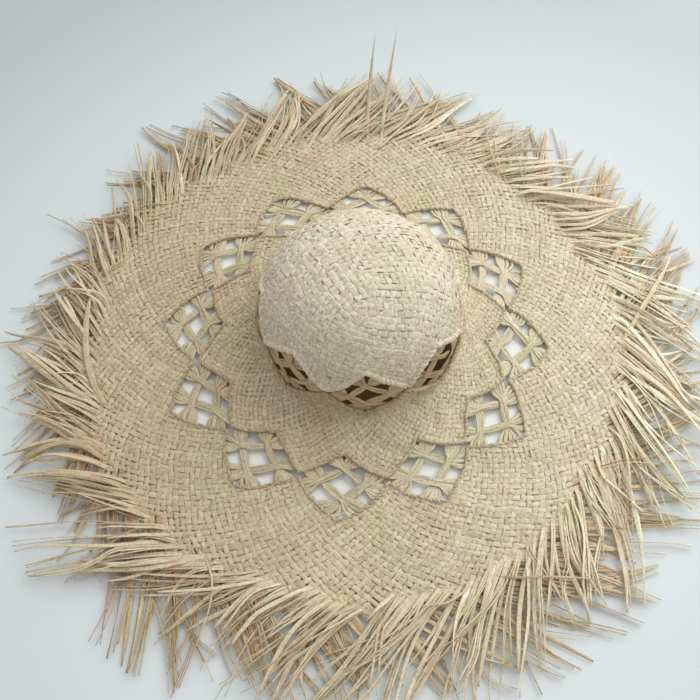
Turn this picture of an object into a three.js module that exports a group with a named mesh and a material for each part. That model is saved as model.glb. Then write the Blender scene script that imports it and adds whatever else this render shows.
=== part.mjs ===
// Straw sun hat, woven from raffia strips: a round crown with an openwork ring at its foot,
// a wide brim with a ring of openwork windows, and a long fringe of loose strip ends.
// Millimetres, +Z up. The hat stands crown up on its brim, with the origin on the table under
// the middle of the brim.
//
// The hat is one sheet, so every piece is drawn flat on a pattern first and then laid on the
// hat. A place on the pattern is a station (the distance from the crown's top along the hat's
// underside), an angle round the crown, and a height above the underside.
import * as THREE from 'three';
import { mergeVertices } from 'three/addons/utils/BufferGeometryUtils.js';

// Crown
const headRadius = 92;          // inside radius at the brim
const crownHeight = 101;        // from the foot of the crown to its top, inside
const crownRoundness = 2.6;     // 2 is an ellipse, and more is squarer at the shoulder
const crownOffset = new THREE.Vector2(5, 6);   // the soft crown sits a little off the middle
const crownWindows = 8;
const crownWindowFoot = 9;      // heights above the foot of the crown
const crownWindowWaist = 32;
const crownWindowTop = 57;
const crownWindowTurn = THREE.MathUtils.degToRad(-86.8);

// Brim
const brimRise = 15.5;          // the foot of the crown is this far above the table
const brimFlatRadius = 200;     // from here outwards the brim lies on the table
const wovenEdgeRadius = 245;    // where the weave ends and the fringe begins
const brimWindows = 12;
const brimWindowInner = 122;    // radii
const brimWindowWaist = 147;
const brimWindowOuter = 179.5;
const brimWindowTurn = THREE.MathUtils.degToRad(-94.3);

// Sheet, edges and strips
const sheetThickness = 2;       // two strips, one over the other
const edgeWidth = 4;            // the plaited edge round each ring of windows
const edgeThickness = 3;
const bundleThickness = 1.6;
const bundleOpening = 15;       // the clear square in the middle of a window
const bundleWaist = 8;          // a bundle of strips where it is pinched at a crossing
const fanGap = 4;               // between two bundles where they fan out at the window's edge
const fanCornerGap = 3;         // between a fan and the window's corner
const gap = 0.4;                // between neighbouring pieces

// Fringe
const tufts = 12;
const locksPerTuft = 8;
const fringeTipRadius = 345;
const fringeShortTipRadius = 322;
const fringeLean = THREE.MathUtils.degToRad(38.05);        // of a long lock, from the radius
const fringeShortLean = THREE.MathUtils.degToRad(43.5);    // of a short lock
const rootBand = 6;
const lockRootShare = 0.8;      // a lock's width at its root, as a share of the space it has
const lockTipWidth = 2.5;
const fringeThickness = 0.8;

// How finely the pieces are divided
const columns = 48;
const meridianSteps = 120;
const domeRows = 6;
const collarRows = 3;
const brimRows = 3;
const leastRow = 0.06;         // the narrowest a row gets, as a share of its ring
const smoothing = 5;            // millimetres each way over which the sheet's slope is averaged

const straw = {
  crown: 0xd9cfb2,
  brim: 0xcbb98f,
  edge: 0xb79d6c,
  bundle: 0xb99c68,
  fringe: 0xc6a373,
};

// The underside of the hat in section, from the crown's top to the fringe's tips.
function meridian() {
  const points = [];
  for (let i = 0; i <= meridianSteps; i++) {
    const turn = (i / meridianSteps) * Math.PI / 2;
    const power = 2 / crownRoundness;
    const radius = headRadius * Math.sin(turn) ** power;
    const height = brimRise + crownHeight * Math.max(0, Math.cos(turn)) ** power;
    points.push(new THREE.Vector2(radius, height));
  }
  const flatStep = (brimFlatRadius - headRadius) / meridianSteps;
  for (let i = 1; i <= meridianSteps; i++) {
    const left = 1 - i / meridianSteps;
    points.push(new THREE.Vector2(headRadius + i * flatStep, brimRise * left * left));
  }
  points.push(new THREE.Vector2(fringeTipRadius + brimFlatRadius, 0));
  return points;
}

const profile = meridian();
const stations = [0];
for (let i = 1; i < profile.length; i++) {
  stations.push(stations[i - 1] + profile[i].distanceTo(profile[i - 1]));
}

// The point of the section at a station.
function section(station) {
  let i = 1;
  while (i < profile.length - 1 && stations[i] < station) {
    i++;
  }
  const part = (station - stations[i - 1]) / (stations[i] - stations[i - 1]);
  return new THREE.Vector2().lerpVectors(profile[i - 1], profile[i], part);
}

// The station where the crown's wall has this height above its foot.
function stationAtHeight(height) {
  const i = profile.findIndex((p, k) => k > 0 && p.y < brimRise + height);
  const part = (profile[i - 1].y - brimRise - height) / (profile[i - 1].y - profile[i].y);
  return THREE.MathUtils.lerp(stations[i - 1], stations[i], part);
}

// The station where the brim has this radius.
function stationAtRadius(radius) {
  const i = profile.findIndex((p, k) => k > meridianSteps && p.x > radius);
  const part = (radius - profile[i - 1].x) / (profile[i].x - profile[i - 1].x);
  return THREE.MathUtils.lerp(stations[i - 1], stations[i], part);
}

const footStation = stations[meridianSteps];
const brimWindowInnerStation = stationAtRadius(brimWindowInner);

// Lays a place of the pattern on the hat.
function onHat(station, angle, height) {
  const here = section(station);
  const before = section(Math.max(0, station - smoothing));
  const after = section(station + smoothing);
  const slope = after.sub(before);
  if (station < smoothing) {
    slope.y *= station / smoothing;
  }
  slope.normalize();
  const radius = here.x - slope.y * height;
  const z = here.y + slope.x * height;
  const shift = 1 - THREE.MathUtils.smoothstep(station, footStation, brimWindowInnerStation);
  return new THREE.Vector3(
    radius * Math.cos(angle) + crownOffset.x * shift,
    radius * Math.sin(angle) + crownOffset.y * shift,
    z,
  );
}

// Moves every corner of a closed geometry by a rule, and turns its faces outwards.
function reshape(geometry, place) {
  const bare = geometry.clone();
  bare.deleteAttribute('normal');
  bare.deleteAttribute('uv');
  const solid = mergeVertices(bare, 1e-4);
  const corners = solid.getAttribute('position');
  const v = new THREE.Vector3();
  for (let i = 0; i < corners.count; i++) {
    v.fromBufferAttribute(corners, i);
    const moved = place(v);
    corners.setXYZ(i, moved.x, moved.y, moved.z);
  }
  const faces = solid.getIndex();
  const kept = [];
  let volume = 0;
  const a = new THREE.Vector3();
  const b = new THREE.Vector3();
  const c = new THREE.Vector3();
  for (let i = 0; i < faces.count; i += 3) {
    const face = [faces.getX(i), faces.getX(i + 1), faces.getX(i + 2)];
    if (new Set(face).size < 3) {
      continue;
    }
    a.fromBufferAttribute(corners, face[0]);
    b.fromBufferAttribute(corners, face[1]);
    c.fromBufferAttribute(corners, face[2]);
    volume += a.dot(b.cross(c));
    kept.push(face);
  }
  const outward = volume > 0 ? kept : kept.map((face) => face.reverse());
  solid.setIndex(outward.flat());
  solid.computeVertexNormals();
  return solid;
}

// A ring of the sheet between two edges. inner and outer give the station at an angle, waypoint
// is a station that one row keeps to where it is clear of the inner edge, and the ring is a disc
// where inner is missing.
function ring({ inner, outer, rows, waypoint, waypointRow, low, high }) {
  const outline = [];
  const first = inner ? 1 : 0;
  const last = first + rows;
  for (let row = first; row <= last; row++) {
    outline.push(new THREE.Vector2(row, high));
  }
  for (let row = last; row >= first; row--) {
    outline.push(new THREE.Vector2(row, low));
  }
  if (inner) {
    outline.push(outline[0].clone());
  }
  const lathe = new THREE.LatheGeometry(outline, columns).rotateX(Math.PI / 2);
  return reshape(lathe, (v) => {
    const row = Math.round(Math.hypot(v.x, v.y)) - first;
    const angle = Math.atan2(v.y, v.x);
    const from = inner ? inner(angle) : 0;
    const to = outer(angle);
    let station = THREE.MathUtils.lerp(from, to, row / rows);
    if (waypoint !== undefined) {
      const via = Math.max(waypoint, THREE.MathUtils.lerp(from, to, leastRow * waypointRow));
      station = row <= waypointRow
        ? THREE.MathUtils.lerp(from, via, row / waypointRow)
        : THREE.MathUtils.lerp(via, to, (row - waypointRow) / (rows - waypointRow));
    }
    return onHat(station, angle + brimWindowTurn, v.z);
  });
}

// How far an angle is from the middle of the nearest window, from 0 there to 1 at the waist.
function acrossWindow(angle, windows, turn) {
  const width = 2 * Math.PI / windows;
  const place = THREE.MathUtils.euclideanModulo(angle + brimWindowTurn - turn + width / 2, width);
  return Math.abs(place / (width / 2) - 1);
}

// One ring of windows. Its edges zigzag: tip is at the middle of a window and waist is where two
// neighbours touch.
class WindowRing {
  constructor(windows, turn, innerTip, waist, outerTip) {
    Object.assign(this, { windows, turn, innerTip, waist, outerTip });
  }

  innerEdge(angle) {
    return THREE.MathUtils.lerp(this.innerTip, this.waist, acrossWindow(angle, this.windows, this.turn));
  }

  outerEdge(angle) {
    return THREE.MathUtils.lerp(this.outerTip, this.waist, acrossWindow(angle, this.windows, this.turn));
  }

  // The sheet ends here, inside and outside the ring, and leaves room for the plaited edges.
  sheetBefore(angle) {
    return this.innerEdge(angle) - gap / 2 - edgeWidth - gap;
  }

  sheetAfter(angle) {
    return this.outerEdge(angle) + gap / 2 + edgeWidth + gap;
  }

  innerBinding() {
    return ring({
      inner: (angle) => this.innerEdge(angle) - gap / 2 - edgeWidth,
      outer: (angle) => this.innerEdge(angle) - gap / 2,
      rows: 1, low: 0, high: edgeThickness,
    });
  }

  outerBinding() {
    return ring({
      inner: (angle) => this.outerEdge(angle) + gap / 2,
      outer: (angle) => this.outerEdge(angle) + gap / 2 + edgeWidth,
      rows: 1, low: 0, high: edgeThickness,
    });
  }

  // Two bundles of strips each way across one window, pinched where they cross and fanned out
  // where they meet the edges. It is drawn on a square whose corners are the window's corners.
  lattice(index) {
    const side = this.sideLength();
    const inner = bundleOpening / side;
    const outer = inner + 2 * bundleWaist / side;
    const footInner = fanGap / side;
    const footOuter = 1 - 2 * fanCornerGap / side;
    const end = 1 - 2 * gap / side;
    const quarter = [
      [outer, inner], [end, footInner], [end, footOuter], [outer, outer],
      [footOuter, end], [footInner, end], [inner, outer],
    ];
    const outline = [];
    for (let turn = 0; turn < 4; turn++) {
      const spin = new THREE.Matrix3().makeRotation(turn * Math.PI / 2);
      outline.push(...quarter.map(([x, y]) => new THREE.Vector2(x, y).applyMatrix3(spin)));
    }
    const shape = new THREE.Shape(outline);
    const middle = [[inner, inner], [inner, -inner], [-inner, -inner], [-inner, inner]];
    shape.holes.push(new THREE.Path(middle.map(([x, y]) => new THREE.Vector2(x, y))));
    const flat = new THREE.ExtrudeGeometry(shape, { depth: bundleThickness, bevelEnabled: false });
    const half = Math.PI / this.windows;
    const centre = this.turn + index * 2 * half;
    return reshape(flat, (v) => {
      const right = (v.x + 1) / 2;
      const up = (v.y + 1) / 2;
      const low = THREE.MathUtils.lerp(this.innerTip, this.waist, right);
      const high = THREE.MathUtils.lerp(this.waist, this.outerTip, right);
      const station = THREE.MathUtils.lerp(low, high, up);
      const angle = centre + (v.x - v.y) / 2 * half;
      return onHat(station, angle, v.z);
    });
  }

  // The length of one side of a window, from its inner tip to its waist.
  sideLength() {
    return onHat(this.innerTip, 0, 0).distanceTo(onHat(this.waist, Math.PI / this.windows, 0));
  }
}

const crownRing = new WindowRing(
  crownWindows, crownWindowTurn,
  stationAtHeight(crownWindowTop), stationAtHeight(crownWindowWaist), stationAtHeight(crownWindowFoot),
);
const brimRing = new WindowRing(
  brimWindows, brimWindowTurn,
  brimWindowInnerStation, stationAtRadius(brimWindowWaist), stationAtRadius(brimWindowOuter),
);

function point(radius, angle) {
  return new THREE.Vector2(radius * Math.cos(angle), radius * Math.sin(angle));
}

// A tuft of the fringe: a root band along the woven edge and tapered locks that lean to one side.
function tuft(index, side, low) {
  const space = 2 * Math.PI / tufts;
  const start = brimWindowTurn + index * space;
  const rootRadius = wovenEdgeRadius + gap;
  const lockSpace = space / locksPerTuft;
  const margin = gap / rootRadius;
  const outline = [];
  for (let k = 0; k <= locksPerTuft; k += 2) {
    const angle = THREE.MathUtils.lerp(start + margin, start + space - margin, k / locksPerTuft);
    outline.push(point(rootRadius, angle));
  }
  for (let k = locksPerTuft - 1; k >= 0; k--) {
    const middle = start + (k + 0.5) * lockSpace;
    const tipRadius = k % 2 ? fringeTipRadius : fringeShortTipRadius;
    const lean = k % 2 ? fringeLean : fringeShortLean;
    const tip = middle + side * Math.tan(lean) * (tipRadius - wovenEdgeRadius) / tipRadius;
    const tipHalf = lockTipWidth / 2 / tipRadius;
    const rootHalf = lockSpace * lockRootShare / 2;
    outline.push(point(rootRadius + rootBand, middle + rootHalf));
    outline.push(point(tipRadius, tip + tipHalf));
    outline.push(point(tipRadius, tip - tipHalf));
    outline.push(point(rootRadius + rootBand, middle - rootHalf));
  }
  const shape = new THREE.Shape(outline);
  const flat = new THREE.ExtrudeGeometry(shape, { depth: fringeThickness, bevelEnabled: false });
  return reshape(flat, (v) => v.setZ(v.z + low));
}

const hat = new THREE.Group();

function add(name, geometry, color, roughness) {
  const material = new THREE.MeshStandardMaterial({ color, roughness, metalness: 0 });
  const mesh = new THREE.Mesh(geometry, material);
  mesh.name = name;
  hat.add(mesh);
}

const dome = ring({
  outer: (angle) => crownRing.sheetBefore(angle),
  rows: domeRows, low: 0, high: sheetThickness,
});
add('crown_dome', dome, straw.crown, 0.75);
add('crown_upper_edge', crownRing.innerBinding(), straw.edge, 0.8);
for (let i = 0; i < crownWindows; i++) {
  add(`crown_window_${i + 1}`, crownRing.lattice(i), straw.bundle, 0.7);
}
add('crown_lower_edge', crownRing.outerBinding(), straw.edge, 0.8);

const innerBrim = ring({
  inner: (angle) => crownRing.sheetAfter(angle),
  outer: (angle) => brimRing.sheetBefore(angle),
  waypoint: footStation + 2 * (edgeWidth + gap), waypointRow: collarRows,
  rows: collarRows + brimRows, low: 0, high: sheetThickness,
});
add('inner_brim', innerBrim, straw.brim, 0.75);
add('brim_inner_edge', brimRing.innerBinding(), straw.edge, 0.8);
for (let i = 0; i < brimWindows; i++) {
  add(`brim_window_${i + 1}`, brimRing.lattice(i), straw.bundle, 0.7);
}
add('brim_outer_edge', brimRing.outerBinding(), straw.edge, 0.8);

const outerBrim = ring({
  inner: (angle) => brimRing.sheetAfter(angle),
  outer: () => stationAtRadius(wovenEdgeRadius),
  waypoint: stationAtRadius(brimFlatRadius), waypointRow: 1,
  rows: brimRows, low: 0, high: sheetThickness,
});
add('outer_brim', outerBrim, straw.brim, 0.75);

for (let i = 0; i < tufts; i++) {
  add(`fringe_lower_${i + 1}`, tuft(i, 1, 0), straw.fringe, 0.7);
  add(`fringe_upper_${i + 1}`, tuft(i, -1, sheetThickness - fringeThickness), straw.fringe, 0.7);
}

export default hat;
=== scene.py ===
# Straw sun hat, plaited by hand from raffia strips. Metres, in the frame's own axes.
import math

import bpy
import numpy as np
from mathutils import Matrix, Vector


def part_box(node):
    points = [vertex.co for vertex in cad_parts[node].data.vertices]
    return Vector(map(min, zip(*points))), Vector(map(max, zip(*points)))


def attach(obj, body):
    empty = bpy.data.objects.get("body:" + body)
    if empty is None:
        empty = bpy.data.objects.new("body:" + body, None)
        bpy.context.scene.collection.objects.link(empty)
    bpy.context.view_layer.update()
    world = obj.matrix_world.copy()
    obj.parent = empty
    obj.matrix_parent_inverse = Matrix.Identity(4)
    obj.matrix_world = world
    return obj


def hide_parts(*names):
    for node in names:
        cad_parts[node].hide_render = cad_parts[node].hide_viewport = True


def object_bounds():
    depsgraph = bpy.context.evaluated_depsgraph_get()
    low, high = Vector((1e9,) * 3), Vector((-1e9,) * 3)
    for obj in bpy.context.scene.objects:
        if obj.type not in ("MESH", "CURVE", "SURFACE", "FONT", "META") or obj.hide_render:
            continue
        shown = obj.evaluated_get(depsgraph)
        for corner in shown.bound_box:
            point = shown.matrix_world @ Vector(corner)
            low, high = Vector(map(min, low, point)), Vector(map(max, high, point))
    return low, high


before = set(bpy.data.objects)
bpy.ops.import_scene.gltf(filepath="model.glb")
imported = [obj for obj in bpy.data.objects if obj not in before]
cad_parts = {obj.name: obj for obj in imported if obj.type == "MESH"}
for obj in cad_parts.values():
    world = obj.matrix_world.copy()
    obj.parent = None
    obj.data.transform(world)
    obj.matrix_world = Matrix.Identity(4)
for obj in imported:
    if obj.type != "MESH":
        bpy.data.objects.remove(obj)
cad_low, cad_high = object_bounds()
rng = np.random.default_rng(11)

MM = 0.001


# ---------------------------------------------------------------- the hat's shape

CROWN_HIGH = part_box("crown_dome")[1].z
CROWN_X = (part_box("crown_dome")[0].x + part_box("crown_dome")[1].x) / 2
CROWN_Y = (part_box("crown_dome")[0].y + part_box("crown_dome")[1].y) / 2
WOVEN_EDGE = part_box("outer_brim")[1].x
TIP_RADIUS = cad_high.x
TABLE = cad_low.z

SHEET = 2 * MM
HEAD_RADIUS = 92 * MM
CROWN_FOOT = 15.5 * MM
CROWN_DEPTH = CROWN_HIGH - SHEET - CROWN_FOOT
ROUNDNESS = 2.6
FLAT_RADIUS = 200 * MM
SOFT_FOLD = 7 * MM
NECK = 1.5 * MM            # half of the bridge of weave between two windows
ARCH = 1.2                 # how round the outer end of a window is

CROWN_WINDOWS = 8
CROWN_TURN = math.radians(-86.8)
CROWN_WINDOW_HEIGHTS = (57 * MM, 32 * MM, 9 * MM)
BRIM_WINDOWS = 12
BRIM_TURN = math.radians(-94.3)
BRIM_WINDOW_RADII = (122 * MM, 147 * MM, 179.5 * MM)

# The hat's section: the crown from its top to its foot, the slope of the brim, and then flat.
STEPS = 400
LEVEL_REACH = 0.4
TURN = np.linspace(0, math.pi / 2, STEPS)
SLOPE = np.linspace(HEAD_RADIUS, FLAT_RADIUS, STEPS)[1:]
SECTION_R = np.concatenate([
    HEAD_RADIUS * np.sin(TURN) ** (2 / ROUNDNESS),
    SLOPE,
    [FLAT_RADIUS + LEVEL_REACH],
])
SECTION_Z = np.concatenate([
    CROWN_FOOT + CROWN_DEPTH * np.clip(np.cos(TURN), 0, 1) ** (2 / ROUNDNESS),
    CROWN_FOOT * ((FLAT_RADIUS - SLOPE) / (FLAT_RADIUS - HEAD_RADIUS)) ** 2,
    [0.0],
])
# A station is a distance from the crown's top, measured down the section.
STATIONS = np.concatenate([
    [0.0],
    np.cumsum(np.hypot(np.diff(SECTION_R), np.diff(SECTION_Z))),
])
FOOT_STATION = STATIONS[STEPS - 1]


def smoothstep(x, low, high):
    t = np.clip((x - low) / (high - low), 0, 1)
    return t * t * (3 - 2 * t)


def unit(vectors):
    return vectors / (np.linalg.norm(vectors, axis=1, keepdims=True) + 1e-12)


def rolled(normals, run, roll):
    """Turns a strip's normals about the way that it runs."""
    side = np.cross(normals, run)
    return normals * np.cos(roll)[:, None] + side * np.sin(roll)[:, None]


def section(station):
    return np.interp(station, STATIONS, SECTION_R), np.interp(station, STATIONS, SECTION_Z)


def station_at_radius(radius):
    return np.interp(radius, SECTION_R[STEPS - 1:], STATIONS[STEPS - 1:])


def station_at_height(height):
    falling = SECTION_Z[:STEPS][::-1] - CROWN_FOOT
    return np.interp(height, falling, STATIONS[:STEPS][::-1])


INNER_TIP_STATION = station_at_radius(BRIM_WINDOW_RADII[0])
LEAST_STATION = 1e-6
FOLD_SPREAD = 1.3 * SOFT_FOLD
WAVE_STARTS = 130 * MM
WAVE_FULL = 215 * MM
SWELLS, SWELL_TURN, SWELL_MM = 3, 0.7, 2.6
RIPPLES, RIPPLE_TURN, RIPPLE_MM = 7, 2.1, 1.2


def brim_wave(radius, angle):
    """How far the soft brim stands off the table, which is nowhere less than nothing."""
    swell = 0.5 + 0.5 * np.sin(SWELLS * angle + SWELL_TURN)
    ripple = 0.5 + 0.5 * np.sin(RIPPLES * angle + RIPPLE_TURN)
    rise = (SWELL_MM * swell + RIPPLE_MM * ripple) * MM
    return smoothstep(radius, WAVE_STARTS, WAVE_FULL) * rise


def on_hat(station, angle, height):
    """Lays places of the flat pattern on the hat: points and the sheet's normals."""
    station = np.maximum(station, LEAST_STATION)
    radius, z = section(station)
    reach = np.minimum(SOFT_FOLD, station)
    before_r, before_z = section(station - reach)
    after_r, after_z = section(station + reach)
    soft_r = (before_r + after_r + 2 * radius) / 4
    soft_z = (before_z + after_z + 2 * z) / 4
    near_fold = np.exp(-((station - FOOT_STATION) / FOLD_SPREAD) ** 2)
    radius = radius + (soft_r - radius) * near_fold
    z = z + (soft_z - z) * near_fold
    slope_r, slope_z = after_r - before_r, after_z - before_z
    length = np.hypot(slope_r, slope_z)
    slope_r, slope_z = slope_r / length, slope_z / length
    shift = 1 - smoothstep(station, FOOT_STATION, INNER_TIP_STATION)
    out_r = radius - slope_z * height
    points = np.stack([
        out_r * np.cos(angle) + CROWN_X * shift,
        out_r * np.sin(angle) + CROWN_Y * shift,
        z + slope_r * height + brim_wave(radius, angle),
    ], -1)
    normals = np.stack([
        -slope_z * np.cos(angle),
        -slope_z * np.sin(angle),
        slope_r,
    ], -1)
    return points, normals


def across_window(angle, windows, turn_to):
    """0 at the middle of the nearest window and 1 where two windows touch."""
    width = 2 * math.pi / windows
    place = np.mod(angle - turn_to + width / 2, width)
    return np.abs(place / (width / 2) - 1)


class WindowRing:
    """One ring of windows. Its inner edge is a zigzag, and its outer edge a row of round arches."""

    def __init__(self, windows, turn_to, inner_tip, waist, outer_tip):
        self.windows, self.turn = windows, turn_to
        self.inner_tip, self.waist, self.outer_tip = inner_tip, waist, outer_tip

    def inner_edge(self, angle):
        share = across_window(angle, self.windows, self.turn)
        return self.inner_tip + (self.waist - NECK - self.inner_tip) * share

    def outer_edge(self, angle):
        share = across_window(angle, self.windows, self.turn)
        return self.outer_tip + (self.waist + NECK - self.outer_tip) * share ** ARCH

    def place(self, index, x, y):
        """A place in a window, drawn as a square from -1 to 1, as a station and an angle."""
        right, up = (x + 1) / 2, (y + 1) / 2
        low = self.inner_tip + (self.waist - self.inner_tip) * right
        high = self.waist + (self.outer_tip - self.waist) * right
        half = math.pi / self.windows
        return low + (high - low) * up, self.turn + (2 * index + (x - y) / 2) * half


crown_ring = WindowRing(
    CROWN_WINDOWS, CROWN_TURN, *(station_at_height(h) for h in CROWN_WINDOW_HEIGHTS)
)
brim_ring = WindowRing(
    BRIM_WINDOWS, BRIM_TURN, *(station_at_radius(r) for r in BRIM_WINDOW_RADII)
)


# ---------------------------------------------------------------- strips of raffia

# A strip's cross-section: across it, up from it, and where the fibre pattern's u lies.
STRIP_ACROSS = np.array([-1.0, -0.6, 0.6, 1.0, 0.6, -0.6])
STRIP_UP = np.array([0.0, 0.5, 0.5, 0.0, -0.5, -0.5])
STRIP_U = np.array([0.0, 0.25, 0.75, 1.0, 0.75, 0.25])
PATTERN_LENGTH = 5.0        # a strip starts anywhere along this much of the fibre pattern


class Strips:
    """Collects strips and makes one mesh of them. Each strip is a closed flattened tube."""

    def __init__(self):
        self.points, self.faces, self.uvs, self.tones = [], [], [], []
        self.count = 0

    def add(self, points, normals, width, thickness, tone=None, start=None):
        n = len(points)
        tangents = unit(np.gradient(points, axis=0))
        sides = unit(np.cross(normals, tangents))
        ups = np.cross(tangents, sides)
        width = np.broadcast_to(width, n)
        thickness = np.broadcast_to(thickness, n)
        ring = (
            points[:, None, :]
            + sides[:, None, :] * (STRIP_ACROSS[None, :, None] * width[:, None, None] / 2)
            + ups[:, None, :] * (STRIP_UP[None, :, None] * thickness[:, None, None])
        )
        m = len(STRIP_ACROSS)
        base = self.count + np.arange(n - 1)[:, None] * m
        k = np.arange(m)
        k_next = (k + 1) % m
        quads = np.stack([base + k, base + m + k, base + m + k_next, base + k_next], -1)
        first = self.count + np.arange(m)
        last = self.count + (n - 1) * m + np.arange(m)
        length = np.concatenate([[0], np.cumsum(np.linalg.norm(np.diff(points, axis=0), axis=1))])
        if start is None:
            start = rng.uniform(0, PATTERN_LENGTH)
        if tone is None:
            tone = rng.uniform(0, 1)
        self.points.append(ring.reshape(-1, 3))
        self.faces.append((quads.reshape(-1, 4), first, last[::-1]))
        self.uvs.append(np.stack([
            np.tile(STRIP_U, n),
            np.repeat(start + length, m),
        ], -1))
        self.tones.append(np.full(n * m, tone))
        self.count += n * m

    def build(self, name, material):
        points = np.concatenate(self.points)
        uvs = np.concatenate(self.uvs)
        quads = np.concatenate([f[0] for f in self.faces])
        caps = np.stack([c for f in self.faces for c in (f[1], f[2])])
        loops = np.concatenate([quads.ravel(), caps.ravel()]).astype(np.int32)
        sizes = np.concatenate([
            np.full(len(quads), 4),
            np.full(len(caps), caps.shape[1]),
        ])
        starts = np.concatenate([[0], np.cumsum(sizes)[:-1]]).astype(np.int32)
        mesh = bpy.data.meshes.new(name)
        mesh.vertices.add(len(points))
        mesh.vertices.foreach_set("co", points.astype(np.float32).ravel())
        mesh.loops.add(len(loops))
        mesh.loops.foreach_set("vertex_index", loops)
        mesh.polygons.add(len(sizes))
        mesh.polygons.foreach_set("loop_start", starts)
        mesh.polygons.foreach_set("use_smooth", np.ones(len(sizes), bool))
        layer = mesh.uv_layers.new(name="strip")
        layer.data.foreach_set("uv", uvs[loops].astype(np.float32).ravel())
        tone = mesh.attributes.new("tone", "FLOAT", "POINT")
        tone.data.foreach_set("value", np.concatenate(self.tones).astype(np.float32))
        mesh.update(calc_edges=True)
        mesh.materials.append(material)
        piece = bpy.data.objects.new(name, mesh)
        bpy.context.scene.collection.objects.link(piece)
        return piece


def settle(piece, slot, *nodes):
    """A finished piece rides on the hat's one body and stands for its nodes."""
    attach(piece, "root")
    if nodes:
        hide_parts(*nodes)
    return piece


# ---------------------------------------------------------------- materials

def node(tree, kind, at=(0, 0), **values):
    made = tree.nodes.new(kind)
    made.location = at
    for key, value in values.items():
        if hasattr(made, key):
            setattr(made, key, value)
        else:
            made.inputs[key.replace("_", " ")].default_value = value
    return made


def ramp(tree, measure, at, ends, to=(0.0, 1.0)):
    """Goes from one value to the other as a measure goes from end to end."""
    made = node(tree, "ShaderNodeMapRange", at, From_Min=ends[0], From_Max=ends[1],
                To_Min=to[0], To_Max=to[1])
    tree.links.new(measure, made.inputs["Value"])
    return made.outputs["Result"]


def blended(tree, share, first, second, at, blend_type="MIX"):
    """Two colours mixed by a share. Each is a plain colour or comes from a socket."""
    made = node(tree, "ShaderNodeMix", at, data_type="RGBA", blend_type=blend_type)
    tree.links.new(share, made.inputs["Factor"])
    for socket, color in ((made.inputs["A"], first), (made.inputs["B"], second)):
        if isinstance(color, tuple):
            socket.default_value = (*color, 1)
        else:
            tree.links.new(color, socket)
    return made.outputs["Result"]


def computed(tree, operation, source, number, at):
    made = node(tree, "ShaderNodeMath", at, operation=operation)
    made.inputs[1].default_value = number
    tree.links.new(source, made.inputs[0])
    return made.outputs[0]


FIBRES_ACROSS = 4.2
FIBRES_ALONG = 70.0
PATTERN_STEP = 91.0         # sets each strip's part of the pattern far from its neighbour's
HUE_STEP = 7.31             # and keeps its lean to the tint apart from how dark it is
STREAK_COLOR = (0.62, 0.5, 0.34)
# Painted shade for the hollows of the small creases.
CREASE_SHADE_COLOR = (0.6, 0.5, 0.36)
GREEN_PATCH = (0.86, 0.94, 0.76)
PINK_PATCH = (0.97, 0.84, 0.78)
# Painted shade on the left of the brim and painted light, paler and bluer, on its right.
PAINTED_SHADE_TINT, PAINTED_LIGHT_TINT = (0.91, 0.9, 0.875), (1.22, 1.31, 1.4)
SIDE_LIGHT_FROM_TO = (-270 * MM, 270 * MM)


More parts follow.
